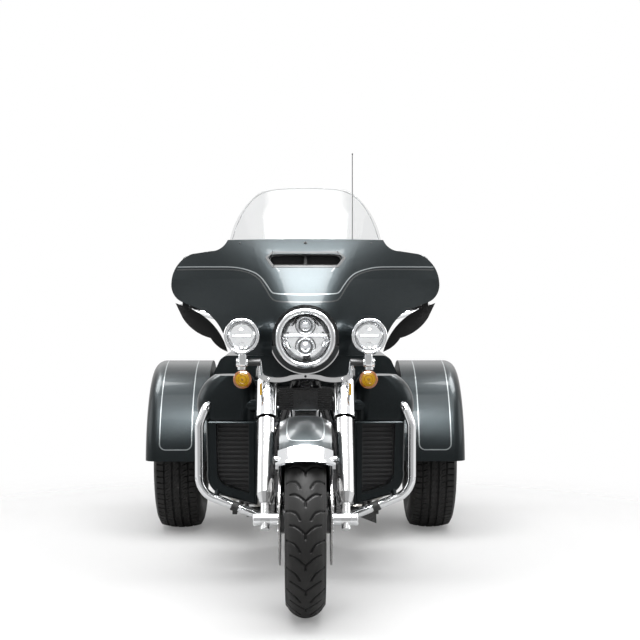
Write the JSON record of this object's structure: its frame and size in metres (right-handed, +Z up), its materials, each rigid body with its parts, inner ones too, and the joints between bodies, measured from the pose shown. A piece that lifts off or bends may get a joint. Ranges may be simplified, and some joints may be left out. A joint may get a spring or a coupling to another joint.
{
  "type": "motorized trike",
  "caption": "Touring motor trike: fork-mounted fairing and clear screen, steered front wheel, driven rear wheels under wide fenders, trunk with door, and top case.",
  "frame": {"origin": "on the ground under the middle of the overall length and width", "axes": "+X is the rider's left, +Y runs to the tail, +Z is up; the front wheel is at -Y"},
  "size_m": [1.376, 2.6698, 1.78],
  "materials": {
    "paint": "dark green-grey metallic gloss",
    "chrome": "bright plated",
    "black": "satin black",
    "cast": "dark cast",
    "wheel": "machined",
    "steel": "ground",
    "tyre": "matte",
    "screen": "clear",
    "lens": "clear",
    "reflector": "bright",
    "amber": "amber lens",
    "red": "red lens",
    "gauge": "dark glass",
    "vinyl": "grained black"
  },
  "bodies": {
    "frame": {"air_cleaner": "chrome", "antenna": "black", "backrest": "vinyl", "case_rack": "chrome", "cylinders": "cast", "engine_case": "cast", "engine_covers": "chrome", "engine_guard": "chrome", "exhaust": "chrome", "foot_boards": "chrome", "frame": "black", "fuel_tank": "paint", "lower_fairings": "paint", "radiators": "cast", "rear_axle": "black", "rear_body": "paint", "rear_fenders": "paint", "regulator": "black", "seat": "vinyl", "side_covers": "paint", "tail_lamps": "red", "tank_console": "chrome", "top_case": "paint"},
    "steering": {"front_fender": "paint", "fender_tip": "chrome", "fairing_shell": "paint", "dash_panel": "black", "dash_gauges": "gauge", "windscreen": "screen", "headlamp_ring": "chrome", "headlamp_lens": "lens", "headlamp_reflector": "reflector", "headlamp_bucket": "black", "lamp_housings": "chrome", "passing_lenses": "lens", "signal_lenses": "amber", "fork_bracket": "chrome", "fork_legs": "chrome", "fork_clamps": "black", "front_axle": "chrome", "brake_calipers": "black", "handlebar": "chrome", "bar_controls": "black", "mirrors": "black", "wind_deflectors": "black"},
    "front_wheel": {"front_tyre": "tyre", "front_rim": "wheel", "front_discs": "steel"},
    "rear_wheel_left": {"rear_tyre_left": "tyre", "rear_rim_left": "wheel"},
    "rear_wheel_right": {"rear_tyre_right": "tyre", "rear_rim_right": "wheel"},
    "top_case_lid": {"top_case_lid": "paint"},
    "trunk_door": {"trunk_door": "paint"}
  },
  "joints": [
    {"name": "steer", "type": "hinge", "parent": "frame", "child": "steering", "pos_m": [0, -0.72581, 0.8], "axis": [0, 0.4384, 0.8988], "range_deg": [-28, 28]},
    {"name": "front_spin", "type": "hinge", "parent": "steering", "child": "front_wheel", "pos_m": [0, -1.016, 0.319], "axis": [1, 0, 0], "continuous": true},
    {"name": "rear_left_spin", "type": "hinge", "parent": "frame", "child": "rear_wheel_left", "pos_m": [0.565, 0.654, 0.324], "axis": [1, 0, 0], "continuous": true},
    {"name": "rear_right_spin", "type": "hinge", "parent": "frame", "child": "rear_wheel_right", "pos_m": [-0.565, 0.654, 0.324], "axis": [1, 0, 0], "continuous": true},
    {"name": "top_case_lid_hinge", "type": "hinge", "parent": "frame", "child": "top_case_lid", "pos_m": [0.307, 0.904, 1.009], "axis": [0, 1, 0], "range_deg": [0, 80]},
    {"name": "trunk_door_hinge", "type": "hinge", "parent": "frame", "child": "trunk_door", "pos_m": [0, 1.322, 0.432], "axis": [-1, 0, 0], "range_deg": [0, 85]}
  ]
}
